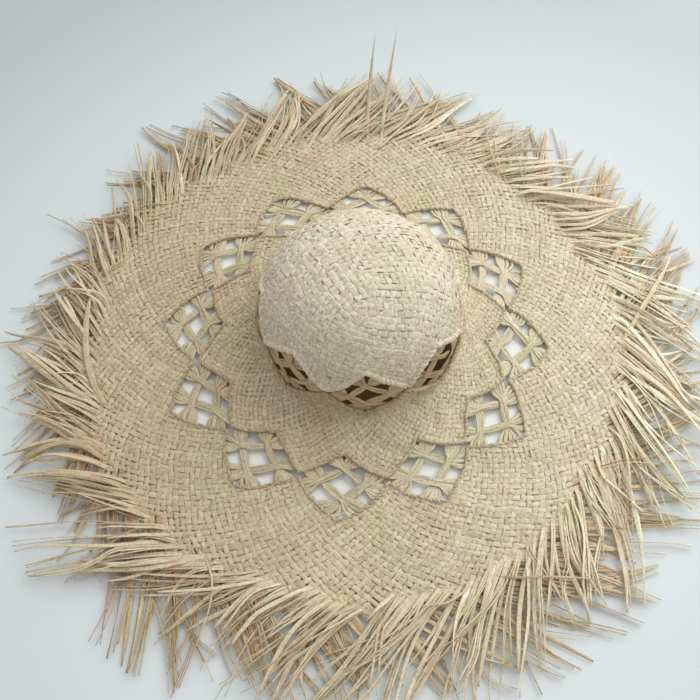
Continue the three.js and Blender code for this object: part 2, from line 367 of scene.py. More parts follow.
def raffia_fibre_group():
    """Long fibres along a strip, with slow changes of colour: a colour and a bump height."""
    group = bpy.data.node_groups.new("raffia fibre", "ShaderNodeTree")
    face = group.interface
    for name, value in (
        ("Light", (0.72, 0.62, 0.42, 1)),
        ("Dark", (0.45, 0.33, 0.17, 1)),
        ("Tint", (0.5, 0.5, 0.3, 1)),
    ):
        socket = face.new_socket(name, in_out="INPUT", socket_type="NodeSocketColor")
        socket.default_value = value
    for name, value in (("Variation", 0.5), ("Streaks", 0.5), ("Painted side light", 0.0)):
        socket = face.new_socket(name, in_out="INPUT", socket_type="NodeSocketFloat")
        socket.default_value = value
    face.new_socket("Color", in_out="OUTPUT", socket_type="NodeSocketColor")
    face.new_socket("Height", in_out="OUTPUT", socket_type="NodeSocketFloat")
    face.new_socket("Roughness", in_out="OUTPUT", socket_type="NodeSocketFloat")
    entry = node(group, "NodeGroupInput", (-1200, 0))
    leave = node(group, "NodeGroupOutput", (1200, 0))
    uv = node(group, "ShaderNodeUVMap", (-1200, -300), uv_map="strip")
    tone = node(group, "ShaderNodeAttribute", (-1200, -500), attribute_name="tone")
    link = group.links.new
    split = node(group, "ShaderNodeSeparateXYZ", (-1000, -300))
    link(uv.outputs["UV"], split.inputs[0])
    wide = computed(group, "MULTIPLY", split.outputs["X"], FIBRES_ACROSS, (-800, -200))
    along = computed(group, "MULTIPLY", split.outputs["Y"], FIBRES_ALONG, (-800, -350))
    seed = computed(group, "MULTIPLY", tone.outputs["Fac"], PATTERN_STEP, (-800, -500))
    where = node(group, "ShaderNodeCombineXYZ", (-600, -300))
    for k, part in enumerate((wide, along, seed)):
        link(part, where.inputs[k])
    fibre = node(group, "ShaderNodeTexNoise", (-400, -200), Scale=1.0, Detail=4.0, Roughness=0.62)
    link(where.outputs[0], fibre.inputs["Vector"])
    slow_where = node(group, "ShaderNodeVectorMath", (-600, -550), operation="MULTIPLY")
    slow_where.inputs[1].default_value = (0.12, 0.8, 1.0)
    link(where.outputs[0], slow_where.inputs[0])
    slow = node(group, "ShaderNodeTexNoise", (-400, -500), Scale=1.0, Detail=2.0)
    link(slow_where.outputs[0], slow.inputs["Vector"])
    # Each strip has its own shade, which drifts slowly along it.
    own = node(group, "ShaderNodeMath", (-200, -500), operation="ADD")
    link(slow.outputs["Fac"], own.inputs[0])
    link(tone.outputs["Fac"], own.inputs[1])
    half = node(group, "ShaderNodeMath", (-50, -500), operation="MULTIPLY_ADD")
    half.inputs[1].default_value = 0.9
    half.inputs[2].default_value = -0.42
    link(own.outputs[0], half.inputs[0])
    varied = node(group, "ShaderNodeMath", (100, -500), operation="MULTIPLY", use_clamp=True)
    link(half.outputs[0], varied.inputs[0])
    link(entry.outputs["Variation"], varied.inputs[1])
    shade = blended(group, varied.outputs[0], entry.outputs["Light"], entry.outputs["Dark"],
                    (250, 100))
    streak = ramp(group, fibre.outputs["Fac"], (-200, -100), (0.44, 0.64))
    streak_amount = node(group, "ShaderNodeMath", (50, -100), operation="MULTIPLY")
    link(streak, streak_amount.inputs[0])
    link(entry.outputs["Streaks"], streak_amount.inputs[1])
    streaked = blended(group, streak_amount.outputs[0], shade, STREAK_COLOR, (420, 100), "MULTIPLY")
    # A few strips lean to the tint.
    hue = computed(group, "MULTIPLY", tone.outputs["Fac"], HUE_STEP, (-200, -700))
    part = node(group, "ShaderNodeMath", (-50, -700), operation="FRACT")
    link(hue, part.inputs[0])
    lean = ramp(group, part.outputs[0], (100, -700), (0.62, 1.0), (0.0, 0.35))
    tinted = blended(group, lean, streaked, entry.outputs["Tint"], (600, 100))
    # Small creases all over, with painted shade in their hollows, and slow green and pink patches
    # over the whole hat.
    place = node(group, "ShaderNodeTexCoord", (-1200, -900))
    crease = node(group, "ShaderNodeTexNoise", (-400, -900), Scale=430.0, Detail=3.0, Roughness=0.6)
    link(place.outputs["Object"], crease.inputs["Vector"])
    crease_shade = ramp(group, crease.outputs["Fac"], (-200, -900), (0.34, 0.56), (0.5, 0.0))
    shaded = blended(group, crease_shade, tinted, CREASE_SHADE_COLOR, (700, 0), "MULTIPLY")
    patch = node(group, "ShaderNodeTexNoise", (-400, -1150), Scale=21.0, Detail=2.0)
    link(place.outputs["Object"], patch.inputs["Vector"])
    green = ramp(group, patch.outputs["Fac"], (-200, -1150), (0.52, 0.72), (0.0, 0.55))
    pink = ramp(group, patch.outputs["Fac"], (-200, -1350), (0.46, 0.28), (0.0, 0.55))
    greened = blended(group, green, shaded, GREEN_PATCH, (850, 0), "MULTIPLY")
    pinked = blended(group, pink, greened, PINK_PATCH, (1000, 0), "MULTIPLY")
    # Painted light on the right of the brim, paler and bluer, and painted shade on its left,
    # darker.
    across = node(group, "ShaderNodeSeparateXYZ", (-400, -1500))
    link(place.outputs["Object"], across.inputs[0])
    lit_share = ramp(group, across.outputs["X"], (-200, -1500), SIDE_LIGHT_FROM_TO)
    quick = computed(group, "POWER", lit_share, 2.0, (-50, -1500))
    side_lighting = blended(group, quick, PAINTED_SHADE_TINT, PAINTED_LIGHT_TINT, (100, -1500))
    side_lit = blended(group, entry.outputs["Painted side light"], pinked, side_lighting, (1100, -200), "MULTIPLY")
    relief = node(group, "ShaderNodeMath", (700, -400), operation="MULTIPLY_ADD")
    relief.inputs[1].default_value = 1.1
    link(crease.outputs["Fac"], relief.inputs[0])
    link(fibre.outputs["Fac"], relief.inputs[2])
    rough = ramp(group, fibre.outputs["Fac"], (420, -300), (0.0, 1.0), (0.55, 0.75))
    link(side_lit, leave.inputs["Color"])
    link(relief.outputs[0], leave.inputs["Height"])
    link(rough, leave.inputs["Roughness"])
    return group


FIBRE = raffia_fibre_group()
STREAKS = 0.45


def raffia(name, light, dark, tint, variation=0.7, side_light=1.0):
    """Dry raffia in one of the hat's shades. The last argument, at 1, paints light on its right and
    shade on its left.
    """
    material = bpy.data.materials.new(name)
    material.use_nodes = True
    tree = material.node_tree
    shader = tree.nodes["Principled BSDF"]
    fibre = node(tree, "ShaderNodeGroup", (-500, 0))
    fibre.node_tree = FIBRE
    fibre.inputs["Light"].default_value = (*light, 1)
    fibre.inputs["Dark"].default_value = (*dark, 1)
    fibre.inputs["Tint"].default_value = (*tint, 1)
    fibre.inputs["Variation"].default_value = variation
    fibre.inputs["Streaks"].default_value = STREAKS
    fibre.inputs["Painted side light"].default_value = side_light
    bump = node(tree, "ShaderNodeBump", (-250, -250), Strength=0.6, Distance=0.0005)
    tree.links.new(fibre.outputs["Color"], shader.inputs["Base Color"])
    tree.links.new(fibre.outputs["Roughness"], shader.inputs["Roughness"])
    tree.links.new(fibre.outputs["Height"], bump.inputs["Height"])
    tree.links.new(bump.outputs["Normal"], shader.inputs["Normal"])
    shader.inputs["Specular IOR Level"].default_value = 0.35
    return material


CROWN_RAFFIA = raffia(
    "cream raffia", (0.9, 0.85, 0.71), (0.7, 0.63, 0.485), (0.66, 0.64, 0.46),
    variation=0.6, side_light=0.0,
)
BRIM_RAFFIA = raffia(
    "beige raffia", (0.78, 0.7, 0.525), (0.56, 0.47, 0.32), (0.6, 0.53, 0.37),
)
EDGE_RAFFIA = raffia(
    "folded raffia", (0.75, 0.64, 0.46), (0.42, 0.32, 0.2), (0.54, 0.43, 0.29),
    variation=0.9,
)
# Painted shade: a darker, browner copy of the raffia for the bundles in the crown's windows, which
# lie under the crown.
SHADED_COLLAR_RAFFIA = raffia(
    "shaded collar raffia", (0.74, 0.61, 0.43), (0.44, 0.32, 0.2), (0.6, 0.42, 0.28),
    side_light=0.0,
)
BUNDLE_RAFFIA = raffia(
    "loose raffia", (0.82, 0.75, 0.56), (0.56, 0.48, 0.32), (0.58, 0.57, 0.38),
)
FRINGE_RAFFIA = raffia(
    "tan raffia", (0.94, 0.87, 0.68), (0.68, 0.56, 0.38), (0.74, 0.54, 0.36),
    variation=0.9,
)
# Painted shade: a browner, darker copy of the fringe's raffia for its lower layer, which lies under
# the upper one.
UNDER_SHADED_RAFFIA = raffia(
    "shaded brown raffia", (0.84, 0.7, 0.49), (0.52, 0.36, 0.21), (0.66, 0.43, 0.27),
    variation=0.9,
)


# ---------------------------------------------------------------- the weave

SUBSTEPS = 4                # samples from one crossing to the next
STRIP_THICK = 0.8 * MM
LIFT = 0.39 * MM            # how far a strip rises or dips at a crossing
LIFT_SHARPNESS = 0.7        # under 1, a strip stays up or down for longer
CURL = 1.3 * MM             # how far the sheet's edges round the windows turn up
MIDDLE = SHEET / 2
# No two strips are alike: how much each thing varies, and over how many samples.
WIDTH_SLOW, WIDTH_SLOW_SAMPLES = 0.05, 26
WIDTH_QUICK = 0.1
SWAY = 0.2 * MM
SWAY_SAMPLES = 1.3 * SUBSTEPS
BOUNCE = 0.12 * MM
LEVEL = 0.06 * MM
ROLL_QUICK = 0.15
ROLL_SLOW, ROLL_SLOW_SAMPLES = 0.07, 30
LEAST_SAMPLES = 4


def runs(inside):
    """The stretches of samples that are inside, each a little longer so that an edge covers it."""
    edges = np.flatnonzero(np.diff(np.concatenate([[False], inside, [False]]).astype(int)))
    for first, last in zip(edges[::2], edges[1::2]):
        yield max(0, first - 1), min(len(inside), last + 1)


def drift(n, scale):
    """A slow random wander along a strip, about nothing. scale is in samples."""
    knots = max(2, int(n / scale) + 2)
    values = rng.normal(0, 1, knots)
    return np.interp(np.linspace(0, knots - 1, n), np.arange(knots), values)


def uneven(n, amount, scale):
    return 1 + amount * drift(n, scale)


class Field:
    """A smooth random field over the pattern, made of waves that run in all directions."""

    def __init__(self, waves, shortest, longest, seed):
        own = np.random.default_rng(seed)
        length = own.uniform(shortest, longest, waves)
        heading = own.uniform(0, 2 * math.pi, waves)
        self.kx = 2 * math.pi / length * np.cos(heading)
        self.ky = 2 * math.pi / length * np.sin(heading)
        self.phase = own.uniform(0, 2 * math.pi, waves)

    def at(self, x, y):
        total = np.sin(
            self.kx * np.asarray(x)[..., None] + self.ky * np.asarray(y)[..., None] + self.phase
        ).sum(-1)
        return total / math.sqrt(len(self.kx) / 2)


WANDER_X = Field(14, 35 * MM, 120 * MM, 5)
WANDER_Y = Field(14, 35 * MM, 120 * MM, 6)
PUCKER = Field(20, 12 * MM, 35 * MM, 7)
WANDER = 0.7 * MM
PUCKER_HEIGHT = 0.16 * MM


def wander(station, angle):
    """The rows of a hand-made weave wander a little, both ways alike."""
    x, y = station * np.cos(angle), station * np.sin(angle)
    dx, dy = WANDER * WANDER_X.at(x, y), WANDER * WANDER_Y.at(x, y)
    return np.hypot(x + dx, y + dy), np.unwrap(np.arctan2(y + dy, x + dx))


def lay_strip(strips, station, angle, wave, width, inside, curl=0):
    """Lays one strip of the weave where it is inside its zone. A wave over 0 is on top."""
    n = len(station)
    station, angle = wander(station, angle)
    width = width * uneven(n, WIDTH_SLOW, WIDTH_SLOW_SAMPLES) * uneven(n, WIDTH_QUICK, SUBSTEPS)
    sway = SWAY * drift(n, SWAY_SAMPLES)
    angle = angle + sway / np.maximum(station, 10 * MM)
    height = MIDDLE + LIFT * np.sign(wave) * np.abs(wave) ** LIFT_SHARPNESS + curl
    height = height + BOUNCE * drift(n, SUBSTEPS) + rng.normal(0, LEVEL)
    height = height + PUCKER_HEIGHT * PUCKER.at(station * np.cos(angle), station * np.sin(angle))
    tone = rng.uniform(0, 1)
    start = rng.uniform(0, PATTERN_LENGTH)
    points, normals = on_hat(station, angle, height)
    run = unit(np.gradient(points, axis=0))
    roll = ROLL_QUICK * drift(n, SUBSTEPS) + ROLL_SLOW * drift(n, ROLL_SLOW_SAMPLES)
    normals = rolled(normals, run, roll)
    for first, last in runs(inside):
        if last - first < LEAST_SAMPLES:
            continue
        part = slice(first, last)
        strips.add(points[part], normals[part], width[part], STRIP_THICK, tone, start)
    return tone, start


# The crown's weave starts from a whorl in front of the top. Three wedges of square weave meet
# there, and every strip bends as it runs from one wedge into the next.
WHORL = np.array([-1 * MM, -45 * MM])
WHORL_WEDGES = 3
WHORL_TURN = math.radians(2)
CROWN_REACH = 190 * MM
CROWN_PITCH = 4.35 * MM
CROWN_COVER = 1.19          # how wide a strip is, as a share of its room
CROWN_NARROWEST = 2.4 * MM
CROWN_WIDEST = 6.5 * MM
CROWN_HEM = 2 * MM          # how far the weave stops from the crown's windows


def whorl_place(edge, i, t):
    """Where a strip of the crown runs: i strips from the whorl, t crossings along."""
    wedge = 2 * math.pi / WHORL_WEDGES
    out = CROWN_PITCH * np.hypot(i + 0.5, t)
    turned = WHORL_TURN + edge * wedge + wedge / (math.pi / 2) * np.arctan2(t, i + 0.5)
    x = WHORL[0] + out * np.cos(turned)
    y = WHORL[1] + out * np.sin(turned)
    return np.hypot(x, y), np.arctan2(y, x)


def weave_crown():
    families = [Strips(), Strips()]
    reach = int(CROWN_REACH / CROWN_PITCH)
    t = np.arange(-reach * SUBSTEPS, reach * SUBSTEPS + 1) / SUBSTEPS
    for edge in range(WHORL_WEDGES):
        for i in range(reach):
            station, angle = whorl_place(edge, i, t)
            angle = np.unwrap(angle)
            inside = station < crown_ring.inner_edge(angle) - CROWN_HEM
            wave = (1 if i % 2 == 0 else -1) * np.sin(math.pi * t)
            points, _ = on_hat(station, angle, MIDDLE)
            # The strip beside this one sets how wide it can be.
            beside, _ = on_hat(*whorl_place(edge, i + 1, t), MIDDLE)
            run = unit(np.gradient(points, axis=0))
            across = beside - points
            across -= run * np.sum(across * run, 1)[:, None]
            room = np.linalg.norm(across, axis=1)
            width = np.clip(room, CROWN_NARROWEST, CROWN_WIDEST) * CROWN_COVER
            lay_strip(families[(i + edge) % 2], station, angle, wave, width, inside)
    for k, strips in enumerate(families):
        piece = strips.build(f"crown_weave_{k + 1}", CROWN_RAFFIA)
        settle(piece, "crown_straw", "crown_dome")


STEEPEST = 0.95


def spiral_rings(strands, first, last, pitch):
    """The station of each ring of crossings, for strips that all lean the same way."""
    stations = [first]
    while stations[-1] < last:
        s = stations[-1]
        radius = float(section(s)[0])
        lean = min(STEEPEST, strands * pitch(radius) / (2 * math.pi * radius))
        angle = math.acos(lean)
        step = math.pi / strands * radius / math.tan(angle)
        stations.append(s + step)
    return np.array(stations)


class LooseEnd:
    """Where a strip leaves the weave: a place, a heading, and its look."""

    def __init__(self, place, heading, width, way, tone, start):
        self.place, self.heading, self.width = place, heading, width
        self.way, self.tone, self.start = way, tone, start


LOOSE_ROWS = 24 * MM
LOOSENING = 0.15
CURL_REACH = 9 * MM
CURL_SHARPNESS = 1.5
END_BACK = 2                # samples from a strip's end to where its loose part starts
HEADING_SPAN = 4            # samples that its heading is taken over


def turned_up(clear):
    """The sheet turns up towards an edge that is this far away."""
    return CURL * (1 - smoothstep(clear, 0, CURL_REACH)) ** CURL_SHARPNESS


def weave_ring(name, strands, rings, pitch, inside, curl, node_name, cover, sectors, ends=None):
    """A ring of plain weave whose strips lean both ways from the radius."""
    q = np.arange((len(rings) - 1) * SUBSTEPS + 1) / SUBSTEPS
    station = np.interp(q, np.arange(len(rings)), rings)
    radius = section(station)[0]
    width = np.array([pitch(r) for r in radius]) * cover
    # The last rows before the fringe are looser.
    width = width * (1 - LOOSENING * smoothstep(radius, WOVEN_EDGE - LOOSE_ROWS, WOVEN_EDGE))
    share = strands // sectors
    for way in (1, -1):
        for sector in range(sectors):
            strips = Strips()
            for i in range(sector * share, (sector + 1) * share):
                angle = 2 * math.pi * i / strands + way * q * math.pi / strands + BRIM_TURN
                wave = way * np.cos(math.pi * q)
                within = inside(station, angle)
                tone, start = lay_strip(strips, station, angle, wave, width, within,
                                        curl(station, angle))
                if ends is not None:
                    last = np.flatnonzero(within)[-1]
                    pick = [max(0, last - END_BACK - HEADING_SPAN), last - END_BACK]
                    spot, _ = on_hat(*wander(station[pick], angle[pick]), MIDDLE)
                    heading = math.atan2(*(spot[1] - spot[0])[[1, 0]])
                    ends.append(LooseEnd(spot[1], heading, width[last], way, tone, start))
            side = "left" if way > 0 else "right"
            piece = strips.build(f"{name}_{side}_{sector + 1}", BRIM_RAFFIA)
            settle(piece, "brim_straw", node_name)


INNER_STRANDS = 120         # strips that lean each way
INNER_COVER = 1.06
OUTER_STRANDS = 168
OUTER_COVER = 1.04
BRIM_HEM = 1 * MM           # how far the weave stops from the brim's windows
OUTER_CURL = 0.6            # the outer hem turns up less than the inner one


def inner_pitch(radius):
    return np.interp(radius, [92 * MM, 150 * MM], [3.6 * MM, 4.5 * MM])


def outer_pitch(radius):
    return np.interp(radius, [145 * MM, 245 * MM], [4.4 * MM, 5.3 * MM])


def in_inner_brim(station, angle):
    low = crown_ring.outer_edge(angle) + CROWN_HEM
    high = brim_ring.inner_edge(angle) - BRIM_HEM
    return (station > low) & (station < high)


def weave_inner_brim():
    first, last = crown_ring.waist - 3 * MM, brim_ring.waist + 2 * MM
    rings = spiral_rings(INNER_STRANDS, first, last, inner_pitch)
    weave_ring(
        "inner_brim", INNER_STRANDS, rings, inner_pitch,
        in_inner_brim,
        lambda s, a: turned_up(brim_ring.inner_edge(a) - s),
        "inner_brim", INNER_COVER, 1,
    )


EDGE_TEETH = 23
EDGE_TOOTH = 9 * MM
TOOTH_MIDDLE = 0.62


def woven_end(angle):
    """The weave stops in steps, where groups of strips were left loose together."""
    place = np.mod(angle * EDGE_TEETH / (2 * math.pi) + 0.6 * np.sin(3 * angle), 1)
    swell = 3 * MM * np.sin(5 * angle + 1.3) + 2 * MM * np.sin(11 * angle)
    return station_at_radius(WOVEN_EDGE) + EDGE_TOOTH * (place - TOOTH_MIDDLE) + swell


def weave_outer_brim():
    first = brim_ring.waist - 4 * MM
    last = station_at_radius(WOVEN_EDGE) + EDGE_TOOTH + 6 * MM
    rings = spiral_rings(OUTER_STRANDS, first, last, outer_pitch)
    ends = []
    weave_ring(
        "outer_brim", OUTER_STRANDS, rings, outer_pitch,
        lambda s, a: (s > brim_ring.outer_edge(a) + BRIM_HEM) & (s < woven_end(a)),
        lambda s, a: OUTER_CURL * turned_up(s - brim_ring.outer_edge(a)),
        "outer_brim", OUTER_COVER, 2, ends,
    )
    return ends


# ---------------------------------------------------------------- edges and windows

def rounded(values, reach):
    """Rounds the corners of a closed zigzag of values."""
    kernel = np.hanning(2 * reach + 3)[1:-1]
    kernel /= kernel.sum()
    padded = np.concatenate([values[-reach:], values, values[:reach]])
    return np.convolve(padded, kernel, mode="valid")


EDGE_SAMPLES = 1920
CORNER_SAMPLES = 5
STEPS_IN_A_TURN = 10
EDGE_SWAY = 0.4 * MM
TWIST_DRIFT = 0.25
COIL_SIDEWAYS, COIL_UPWARDS = 1.1, 0.9


def twist_edge(name, line, height, coil, strand, pitch, material, node_name):
    """A pair of strips twisted round each other into a thin rope along a zigzag edge."""
    angle = np.linspace(0, 2 * math.pi, EDGE_SAMPLES, endpoint=False)
    station = rounded(line(angle), CORNER_SAMPLES)
    points, normals = on_hat(*wander(station, angle), height)
    closed = np.concatenate([points, points[:1]])
    lengths = np.linalg.norm(np.diff(closed, axis=0), axis=1)
    total = lengths.sum()
    along = np.concatenate([[0], np.cumsum(lengths)])
    turns = round(total / pitch)
    steps = turns * STEPS_IN_A_TURN
    at = np.linspace(0, total, steps + 1)
    p = np.stack([np.interp(at, along, closed[:, k]) for k in range(3)], -1)
    closed_n = np.concatenate([normals, normals[:1]])
    n = np.stack([np.interp(at, along, closed_n[:, k]) for k in range(3)], -1)
    s = unit(np.cross(n, unit(np.gradient(p, axis=0))))
    p = p + s * (EDGE_SWAY * drift(steps + 1, 9))[:, None]
    strips = Strips()
    for k in range(2):
        phase = 2 * math.pi * turns * at / total + k * math.pi
        phase = phase + TWIST_DRIFT * drift(steps + 1, 16)
        radial = s * np.cos(phase)[:, None] * COIL_SIDEWAYS
        radial = radial + n * np.sin(phase)[:, None] * COIL_UPWARDS
        centre = p + radial * coil * uneven(steps + 1, 0.22, 9)[:, None]
        wide = strand[0] * uneven(steps + 1, 0.2, 8)
        thick = strand[1] * uneven(steps + 1, 0.1, 9)
        strips.add(centre, unit(radial), wide, thick)
    piece = strips.build(name, material)
    return settle(piece, "edge_straw", node_name)


def twist_edges():
    twist_edge("crown_upper_twist", lambda a: crown_ring.inner_edge(a) - 2 * MM,
               1.6 * MM, 1.3 * MM, (4.0 * MM, 2.5 * MM), 9 * MM, CROWN_RAFFIA,
               "crown_upper_edge")
    twist_edge("crown_lower_twist", lambda a: crown_ring.outer_edge(a) + 1.5 * MM,
               2.6 * MM, 1.05 * MM, (3.2 * MM, 2.1 * MM), 9 * MM, EDGE_RAFFIA,
               "crown_lower_edge")
    twist_edge("brim_inner_twist", lambda a: brim_ring.inner_edge(a) - 1.2 * MM,
               1.6 * MM + CURL, 0.75 * MM, (2.1 * MM, 1.0 * MM), 6.5 * MM, EDGE_RAFFIA,
               "brim_inner_edge")
    twist_edge("brim_outer_twist", lambda a: brim_ring.outer_edge(a) + 1.2 * MM,
               1.5 * MM + OUTER_CURL * CURL, 0.72 * MM, (2.0 * MM, 1.0 * MM), 6.5 * MM, EDGE_RAFFIA,
               "brim_outer_edge")


# Places in a window run from -1 to 1.
BUNDLE_STRIPS = 5
BUNDLE_LINE = 0.47          # how far a bundle's middle is from the window's middle
BUNDLE_WAIST = 0.095        # half the width of a bundle where it is pinched
BUNDLE_BELLY = 0.05
BUNDLE_FOOT = 0.33          # and where it fans out into the weave
BUNDLE_ENDS = (-1.1, 1.22)
BUNDLE_STEPS = 41
BUNDLE_HEIGHT = 0.9 * MM
BUNDLE_CROSSING = 0.75 * MM
BUNDLE_THICK = 0.7 * MM


def window_bundles(ring, index, name, node_name, strip_width, bow, material):
    """Two bundles of loose strips each way across a window, pinched where they cross."""
    strips = Strips()
    x = np.linspace(*BUNDLE_ENDS, BUNDLE_STEPS)
    for way in range(2):
        for side in (-1, 1):
            over = side if way == 0 else -side
            line = BUNDLE_LINE + rng.normal(0, 0.03)
            slant = rng.normal(0, 0.025)
            pinch = BUNDLE_WAIST * rng.uniform(0.8, 1.25)
            for k in range(BUNDLE_STRIPS):
                share = (k + 0.5) / BUNDLE_STRIPS * 2 - 1 + rng.normal(0, 0.07)
                fan = smoothstep(np.abs(x), line + rng.uniform(-0.02, 0.08), rng.uniform(0.9, 1.05))
                belly = BUNDLE_BELLY * np.cos(math.pi * np.clip(x / line, -1, 1) / 2) ** 2
                spread = pinch + belly + (BUNDLE_FOOT - pinch) * fan
                y = side * (line + 0.03 * fan) + share * spread + slant * x
                station, angle = ring.place(index, x, y) if way == 0 else ring.place(index, y, x)
                pass_over = np.sin(math.pi * np.clip(x / (2 * line), -1, 1)) * over
                layer = rng.uniform(-0.35, 0.35) * MM * (1 - fan)
                crossing = BUNDLE_CROSSING * pass_over * (1 - 0.85 * fan)
                height = BUNDLE_HEIGHT + crossing + layer
                height = height + bow * (1 - fan) - 0.25 * MM * fan
                points, normals = on_hat(*wander(station, angle), np.maximum(height, 0.3 * MM))
                run = unit(np.gradient(points, axis=0))
                roll = rng.normal(0, 0.35) * (1 - 0.7 * fan) + 0.15 * drift(len(x), 12)
                width = strip_width * uneven(len(x), 0.12, 9) * rng.uniform(0.8, 1.2)
                width = width * (0.7 + 0.35 * fan)
                strips.add(points, rolled(normals, run, roll), width, BUNDLE_THICK)
    return settle(strips.build(name, material), "bundle_straw", node_name)


def fill_windows():
    # The crown's window bundles take the copy of the raffia painted in shade.
    for i in range(CROWN_WINDOWS):
        window_bundles(crown_ring, i, f"crown_bundles_{i + 1}", f"crown_window_{i + 1}",
                       3.2 * MM, 0.6 * MM, SHADED_COLLAR_RAFFIA)
    for i in range(BRIM_WINDOWS):
        window_bundles(brim_ring, i, f"brim_bundles_{i + 1}", f"brim_window_{i + 1}",
                       3.5 * MM, 0, BUNDLE_RAFFIA)


# ---------------------------------------------------------------- fringe

FRINGE_STEPS = 26
FRINGE_SECTORS = 4
TUFTS = 12
FRINGE_REACH = TIP_RADIUS + 4 * MM
FRINGE_THICK = 0.6 * MM
NARROWEST = 0.45 * MM
# Each loose end is laid three times over, and the last time with finer strips.
PLIES = 3
FINE_SHARE = 0.6
# How long the fringe is, from the right hand side round by the back, as shares of the usual.
FRINGE_LENGTHS = (1.2, 0.94, 1.08, 1.1, 0.64, 0.88, 0.86, 1.14, 0.98, 1.28, 1.04, 1.2)
USUAL_LENGTH = 0.114
SHORTEST, LONGEST = 0.06, 0.155
# How much a clump's strips draw together, and how many strands a strip is split into.
DRAWS, DRAW_ODDS = [0.15, 0.6, 0.94], [0.3, 0.4, 0.3]
STRANDS, STRAND_ODDS = [1, 2, 3], [0.52, 0.37, 0.11]
SHORT_ODDS = 0.12
KINK_ODDS = 0.35
KINK_DEGREES = 24
LOWER_RISE = 0.35
# For the lower and the upper layer: how high it lies, and how often a strip stands up from it.
LAYER_MM = (1.0, 3.0)
STICK_UP_ODDS = (0.03, 0.07)
FEWEST_STEPS = 6


class Clump:
    """Neighbouring strips that lean, bend and end alike, and draw together towards their tips."""

    def __init__(self, members, upper, ply):
        self.upper = upper
        self.bend = math.radians(rng.normal(-12, 9 + 5 * ply))
        self.curl = math.radians(rng.normal(0, 10))
        turn = math.atan2(*members[0].place[[1, 0]]) / (2 * math.pi) % 1
        usual = np.interp(turn * len(FRINGE_LENGTHS) - 0.5, np.arange(len(FRINGE_LENGTHS)),
                          FRINGE_LENGTHS, period=len(FRINGE_LENGTHS))
        own = rng.normal(USUAL_LENGTH - 0.008 * ply, 0.02)
        self.length = usual * np.clip(own, SHORTEST, LONGEST)
        self.draw = rng.choice(DRAWS, p=DRAW_ODDS) + rng.uniform(-0.15, 0.06)
        self.rise = rng.gamma(1.6, 2.2) * MM
        self.middle = members[len(members) // 2]

    def path(self, end, bend, length, sway=0.0, kink=0.0, kink_at=0.5):
        t = np.linspace(0, 1, FRINGE_STEPS)
        heading = end.heading + end.way * (bend * t + self.curl * t * t)
        heading = heading + sway * np.sin(2.3 * math.pi * t) + kink * smoothstep(
            t, kink_at, kink_at + 0.12)
        d = length / (FRINGE_STEPS - 1)
        x = end.place[0] + np.concatenate([[0], np.cumsum(np.cos(heading[:-1]) * d)])
        y = end.place[1] + np.concatenate([[0], np.cumsum(np.sin(heading[:-1]) * d)])
        return t, heading, x, y


def fringe_strip(strips, clump, end, ply):
    """One loose strip, which may be split into two or three strands that part on their way."""
    bend = clump.bend + math.radians(rng.normal(0, 4 + 3 * ply))
    length = clump.length * rng.uniform(0.8, 1.12)
    if rng.random() < SHORT_ODDS:
        length *= rng.uniform(0.35, 0.75)
    kink = 0.0
    if rng.random() < KINK_ODDS:
        kink = math.radians(rng.normal(0, KINK_DEGREES))
    t, heading, x, y = clump.path(end, bend, length, math.radians(rng.normal(0, 4)), kink,
                                  rng.uniform(0.3, 0.75))
    _, _, guide_x, guide_y = clump.path(clump.middle, clump.bend, clump.length)
    draw = clump.draw * smoothstep(t, 0.15, 1.05)
    slide = rng.uniform(-2.5, 2.5) * MM * t
    x = x + (guide_x - x) * draw - np.sin(heading) * slide
    y = y + (guide_y - y) * draw + np.cos(heading) * slide
    ground = end.place[2] - MIDDLE
    top = (LAYER_MM[clump.upper] - 0.5 * ply) * MM
    rise = clump.rise * rng.uniform(0.5, 1.3) * (1.0 if clump.upper else LOWER_RISE)
    if rng.random() < STICK_UP_ODDS[clump.upper]:
        rise += rng.uniform(4, 13) * MM
    settled = smoothstep(t, 0.02, 0.2)
    z = (
        MIDDLE + (top - MIDDLE) * settled + rng.uniform(0, 1.0) * MM * settled
        + ground * (1 - smoothstep(t, 0.1, 0.8))
        + rise * np.sin(math.pi * t ** 1.2 * 0.85) * settled
    )
    strands = rng.choice(STRANDS, p=STRAND_ODDS)
    fine = FINE_SHARE if ply == PLIES - 1 else 1
    share = end.width * rng.uniform(0.74, 0.98) / strands * fine
    for k in range(strands):
        apart = rng.normal(0, 4) * (1.05 - clump.draw) * MM
        apart = apart * smoothstep(t, rng.uniform(0.1, 0.5), 1.1)
        offset = (k - (strands - 1) / 2) * share * 0.92 + apart + ply * rng.normal(0, 1.2) * MM
        px = x - np.sin(heading) * offset
        py = y + np.cos(heading) * offset
        pz = z + k * 0.15 * MM + rng.uniform(0, 2.5) * MM * smoothstep(t, 0.3, 1)
        keep = np.hypot(px, py) < FRINGE_REACH
        keep[max(4, int(FRINGE_STEPS * rng.uniform(0.8, 1.05))):] = False
        stop = FRINGE_STEPS if keep.all() else int(np.argmin(keep))
        if stop < FEWEST_STEPS:
            continue
        here = slice(0, stop)
        tip = t[here] / t[stop - 1]
        points = np.stack([px, py, np.maximum(pz, TABLE + 0.4 * MM)], -1)[here]
        roll = (rng.normal(0, 0.4) + rng.normal(0, 0.9) * tip) * smoothstep(tip, 0, 0.3)
        run = np.stack([np.cos(heading[here]), np.sin(heading[here]), 0 * tip], -1)
        up = np.tile([0, 0, 1.0], (stop, 1))
        taper = 1 - rng.uniform(0.25, 0.8) * smoothstep(tip, rng.uniform(0.4, 0.85), 1.02)
        width = np.maximum(share * taper * uneven(stop, 0.1, 5), NARROWEST)
        tone = (end.tone + rng.normal(0, 0.2)) % 1
        strips.add(points, rolled(up, run, roll), width, FRINGE_THICK, tone, end.start)


CLUMP_SIZES = (2, 9)


